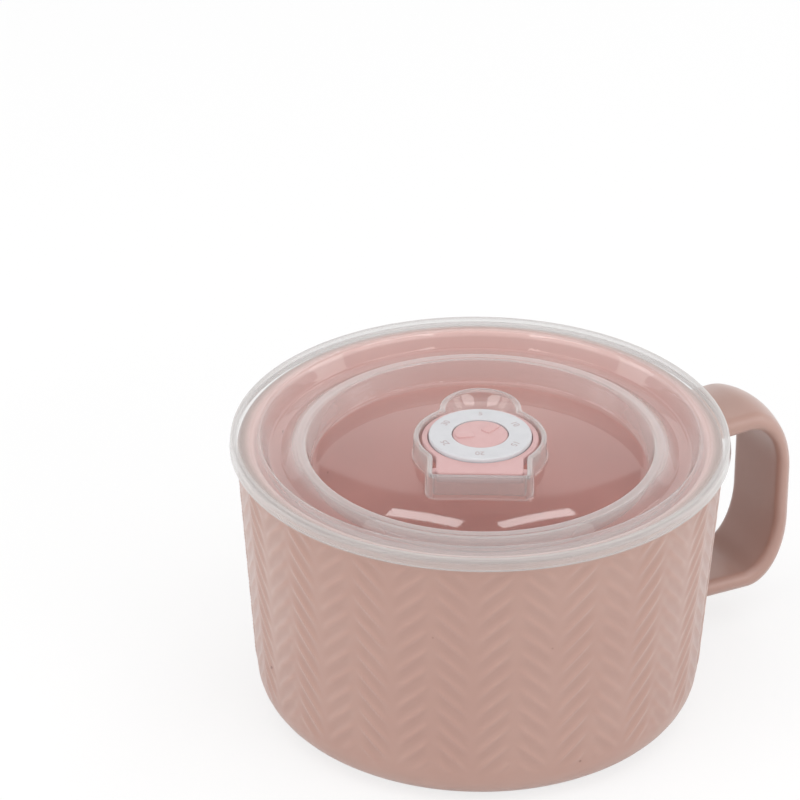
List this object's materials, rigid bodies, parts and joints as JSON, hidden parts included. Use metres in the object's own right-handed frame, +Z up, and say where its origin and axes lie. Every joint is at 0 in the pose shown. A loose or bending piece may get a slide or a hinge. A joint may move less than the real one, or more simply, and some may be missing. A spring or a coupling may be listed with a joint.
{
  "type": "lidded soup mug",
  "caption": "Tapered stoneware mug with a herringbone relief, a strap handle and a push-on translucent lid with a hinged steam vent and a turning date pointer.",
  "frame": {"origin": "on the mug's axis, in the plane of the foot ring that the mug stands on", "axes": "+Z up along the mug's axis, +X towards the handle"},
  "size_m": [0.169, 0.1376, 0.0819],
  "materials": {
    "stoneware": "matt dusty-rose glaze with fine dark speckles",
    "lid_plastic": "clear natural polypropylene, slightly milky, glossy",
    "flap_plastic": "satin rose polypropylene",
    "ring_plastic": "satin white plastic with printed numbers",
    "plug_silicone": "soft translucent silicone"
  },
  "bodies": {
    "mug": {"mug_body": "stoneware", "handle": "stoneware"},
    "cover": {"lid": "lid_plastic"},
    "flap": {"vent_flap": "flap_plastic", "date_ring": "ring_plastic", "vent_plug": "plug_silicone"},
    "pointer": {"pointer_knob": "flap_plastic"}
  },
  "joints": [
    {"name": "lid_lift", "type": "slide", "parent": "mug", "child": "cover", "axis": [0, 0, 1], "range_m": [0, 0.03]},
    {"name": "flap_hinge", "type": "hinge", "parent": "cover", "child": "flap", "pos_m": [-0.00943, -0.0151, 0.079], "axis": [0.848, -0.5299, 0], "range_deg": [0, 95]},
    {"name": "pointer_turn", "type": "hinge", "parent": "flap", "child": "pointer", "pos_m": [0, 0, 0.0795], "axis": [0, 0, 1], "continuous": true}
  ]
}
